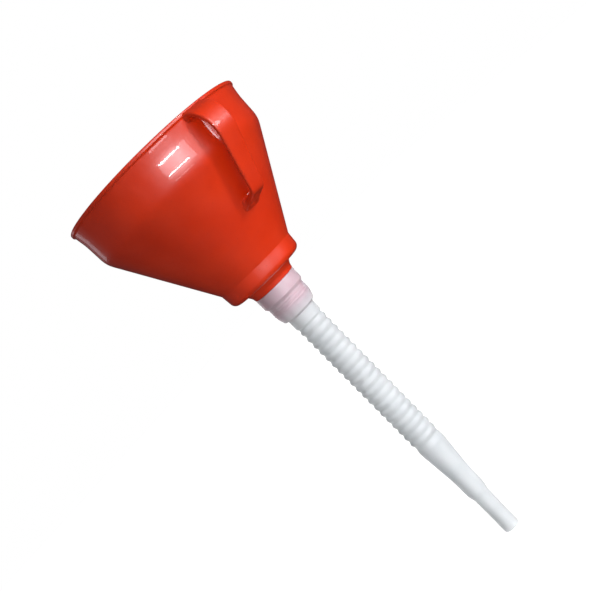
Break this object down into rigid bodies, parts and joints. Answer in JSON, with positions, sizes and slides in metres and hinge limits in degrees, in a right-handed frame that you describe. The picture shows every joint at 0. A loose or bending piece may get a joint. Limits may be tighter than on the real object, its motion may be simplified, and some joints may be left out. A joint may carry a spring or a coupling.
{
  "type": "funnel with flexible spout",
  "caption": "Plastic funnel with a lipped bowl, strap handle, lift-out strainer and a push-on corrugated flexible spout that bends, turns and pulls off.",
  "frame": {"origin": "on the funnel's axis, in the plane of the shoulder's flat underside", "axes": "+Z along the axis towards the mouth, the handle towards +X, and the spout hangs towards -Z"},
  "size_m": [0.1718, 0.1584, 0.3856],
  "materials": {
    "orange_red_plastic": "glossy moulded polyethylene, lightly scuffed",
    "natural_plastic": "satin translucent natural polyethylene",
    "brass_gauze": "woven fine wire, dull"
  },
  "bodies": {
    "bowl": {"bowl": "orange_red_plastic", "handle": "orange_red_plastic"},
    "strainer": {"strainer_frame": "natural_plastic", "strainer_gauze": "brass_gauze"},
    "spout_collar": {"spout_collar": "natural_plastic"},
    "spout_band": {"spout_band": "natural_plastic"},
    "spout_ring_01": {"spout_ring_01": "natural_plastic"},
    "spout_ring_02": {"spout_ring_02": "natural_plastic"},
    "spout_ring_03": {"spout_ring_03": "natural_plastic"},
    "spout_ring_04": {"spout_ring_04": "natural_plastic"},
    "spout_ring_05": {"spout_ring_05": "natural_plastic"},
    "spout_ring_06": {"spout_ring_06": "natural_plastic"},
    "spout_ring_07": {"spout_ring_07": "natural_plastic"},
    "spout_ring_08": {"spout_ring_08": "natural_plastic"},
    "spout_ring_09": {"spout_ring_09": "natural_plastic"},
    "spout_ring_10": {"spout_ring_10": "natural_plastic"},
    "spout_ring_11": {"spout_ring_11": "natural_plastic"},
    "spout_ring_12": {"spout_ring_12": "natural_plastic"},
    "spout_ring_13": {"spout_ring_13": "natural_plastic"},
    "spout_ring_14": {"spout_ring_14": "natural_plastic"},
    "spout_ring_15": {"spout_ring_15": "natural_plastic"},
    "spout_ring_16": {"spout_ring_16": "natural_plastic"},
    "spout_ring_17": {"spout_ring_17": "natural_plastic"},
    "spout_ring_18": {"spout_ring_18": "natural_plastic"},
    "spout_ring_19": {"spout_ring_19": "natural_plastic"},
    "spout_nozzle": {"spout_nozzle": "natural_plastic"}
  },
  "joints": [
    {"name": "strainer_lift", "type": "slide", "parent": "bowl", "child": "strainer", "axis": [0, 0, 1], "range_m": [0, 0.13]},
    {"name": "spout_pull_off", "type": "slide", "parent": "bowl", "child": "spout_collar", "axis": [0, 0, -1], "range_m": [0, 0.03]},
    {"name": "spout_turn", "type": "hinge", "parent": "spout_collar", "child": "spout_band", "pos_m": [0, 0, -0.0369], "axis": [0, 0, 1], "continuous": true},
    {"name": "spout_bend", "type": "hinge", "parent": "spout_band", "child": "spout_ring_01", "pos_m": [0, 0, -0.0451], "axis": [0, 1, 0], "range_deg": [-4.5, 4.5], "stiffness_Nm_per_rad": 1.5},
    {"name": "spout_bend_02", "type": "hinge", "parent": "spout_ring_01", "child": "spout_ring_02", "pos_m": [0, 0, -0.05167], "axis": [0, 1, 0], "range_deg": [-4.5, 4.5], "stiffness_Nm_per_rad": 1.5},
    {"name": "spout_bend_03", "type": "hinge", "parent": "spout_ring_02", "child": "spout_ring_03", "pos_m": [0, 0, -0.05824], "axis": [0, 1, 0], "range_deg": [-4.5, 4.5], "stiffness_Nm_per_rad": 1.5},
    {"name": "spout_bend_04", "type": "hinge", "parent": "spout_ring_03", "child": "spout_ring_04", "pos_m": [0, 0, -0.06481], "axis": [0, 1, 0], "range_deg": [-4.5, 4.5], "stiffness_Nm_per_rad": 1.5},
    {"name": "spout_bend_05", "type": "hinge", "parent": "spout_ring_04", "child": "spout_ring_05", "pos_m": [0, 0, -0.07138], "axis": [0, 1, 0], "range_deg": [-4.5, 4.5], "stiffness_Nm_per_rad": 1.5},
    {"name": "spout_bend_06", "type": "hinge", "parent": "spout_ring_05", "child": "spout_ring_06", "pos_m": [0, 0, -0.07795], "axis": [0, 1, 0], "range_deg": [-4.5, 4.5], "stiffness_Nm_per_rad": 1.5},
    {"name": "spout_bend_07", "type": "hinge", "parent": "spout_ring_06", "child": "spout_ring_07", "pos_m": [0, 0, -0.08452], "axis": [0, 1, 0], "range_deg": [-4.5, 4.5], "stiffness_Nm_per_rad": 1.5},
    {"name": "spout_bend_08", "type": "hinge", "parent": "spout_ring_07", "child": "spout_ring_08", "pos_m": [0, 0, -0.09109], "axis": [0, 1, 0], "range_deg": [-4.5, 4.5], "stiffness_Nm_per_rad": 1.5},
    {"name": "spout_bend_09", "type": "hinge", "parent": "spout_ring_08", "child": "spout_ring_09", "pos_m": [0, 0, -0.09766], "axis": [0, 1, 0], "range_deg": [-4.5, 4.5], "stiffness_Nm_per_rad": 1.5},
    {"name": "spout_bend_10", "type": "hinge", "parent": "spout_ring_09", "child": "spout_ring_10", "pos_m": [0, 0, -0.10423], "axis": [0, 1, 0], "range_deg": [-4.5, 4.5], "stiffness_Nm_per_rad": 1.5},
    {"name": "spout_bend_11", "type": "hinge", "parent": "spout_ring_10", "child": "spout_ring_11", "pos_m": [0, 0, -0.1108], "axis": [0, 1, 0], "range_deg": [-4.5, 4.5], "stiffness_Nm_per_rad": 1.5},
    {"name": "spout_bend_12", "type": "hinge", "parent": "spout_ring_11", "child": "spout_ring_12", "pos_m": [0, 0, -0.11737], "axis": [0, 1, 0], "range_deg": [-4.5, 4.5], "stiffness_Nm_per_rad": 1.5},
    {"name": "spout_bend_13", "type": "hinge", "parent": "spout_ring_12", "child": "spout_ring_13", "pos_m": [0, 0, -0.12394], "axis": [0, 1, 0], "range_deg": [-4.5, 4.5], "stiffness_Nm_per_rad": 1.5},
    {"name": "spout_bend_14", "type": "hinge", "parent": "spout_ring_13", "child": "spout_ring_14", "pos_m": [0, 0, -0.13051], "axis": [0, 1, 0], "range_deg": [-4.5, 4.5], "stiffness_Nm_per_rad": 1.5},
    {"name": "spout_bend_15", "type": "hinge", "parent": "spout_ring_14", "child": "spout_ring_15", "pos_m": [0, 0, -0.13708], "axis": [0, 1, 0], "range_deg": [-4.5, 4.5], "stiffness_Nm_per_rad": 1.5},
    {"name": "spout_bend_16", "type": "hinge", "parent": "spout_ring_15", "child": "spout_ring_16", "pos_m": [0, 0, -0.14365], "axis": [0, 1, 0], "range_deg": [-4.5, 4.5], "stiffness_Nm_per_rad": 1.5},
    {"name": "spout_bend_17", "type": "hinge", "parent": "spout_ring_16", "child": "spout_ring_17", "pos_m": [0, 0, -0.15022], "axis": [0, 1, 0], "range_deg": [-4.5, 4.5], "stiffness_Nm_per_rad": 1.5},
    {"name": "spout_bend_18", "type": "hinge", "parent": "spout_ring_17", "child": "spout_ring_18", "pos_m": [0, 0, -0.15679], "axis": [0, 1, 0], "range_deg": [-4.5, 4.5], "stiffness_Nm_per_rad": 1.5},
    {"name": "spout_bend_19", "type": "hinge", "parent": "spout_ring_18", "child": "spout_ring_19", "pos_m": [0, 0, -0.16336], "axis": [0, 1, 0], "range_deg": [-4.5, 4.5], "stiffness_Nm_per_rad": 1.5},
    {"name": "spout_bend_20", "type": "hinge", "parent": "spout_ring_19", "child": "spout_nozzle", "pos_m": [0, 0, -0.16993], "axis": [0, 1, 0], "range_deg": [-4.5, 4.5], "stiffness_Nm_per_rad": 1.5}
  ],
  "couplings": [
    {"joint": "spout_bend_02", "follows": "spout_bend", "ratio": 1},
    {"joint": "spout_bend_03", "follows": "spout_bend", "ratio": 1},
    {"joint": "spout_bend_04", "follows": "spout_bend", "ratio": 1},
    {"joint": "spout_bend_05", "follows": "spout_bend", "ratio": 1},
    {"joint": "spout_bend_06", "follows": "spout_bend", "ratio": 1},
    {"joint": "spout_bend_07", "follows": "spout_bend", "ratio": 1},
    {"joint": "spout_bend_08", "follows": "spout_bend", "ratio": 1},
    {"joint": "spout_bend_09", "follows": "spout_bend", "ratio": 1},
    {"joint": "spout_bend_10", "follows": "spout_bend", "ratio": 1},
    {"joint": "spout_bend_11", "follows": "spout_bend", "ratio": 1},
    {"joint": "spout_bend_12", "follows": "spout_bend", "ratio": 1},
    {"joint": "spout_bend_13", "follows": "spout_bend", "ratio": 1},
    {"joint": "spout_bend_14", "follows": "spout_bend", "ratio": 1},
    {"joint": "spout_bend_15", "follows": "spout_bend", "ratio": 1},
    {"joint": "spout_bend_16", "follows": "spout_bend", "ratio": 1},
    {"joint": "spout_bend_17", "follows": "spout_bend", "ratio": 1},
    {"joint": "spout_bend_18", "follows": "spout_bend", "ratio": 1},
    {"joint": "spout_bend_19", "follows": "spout_bend", "ratio": 1},
    {"joint": "spout_bend_20", "follows": "spout_bend", "ratio": 1}
  ]
}
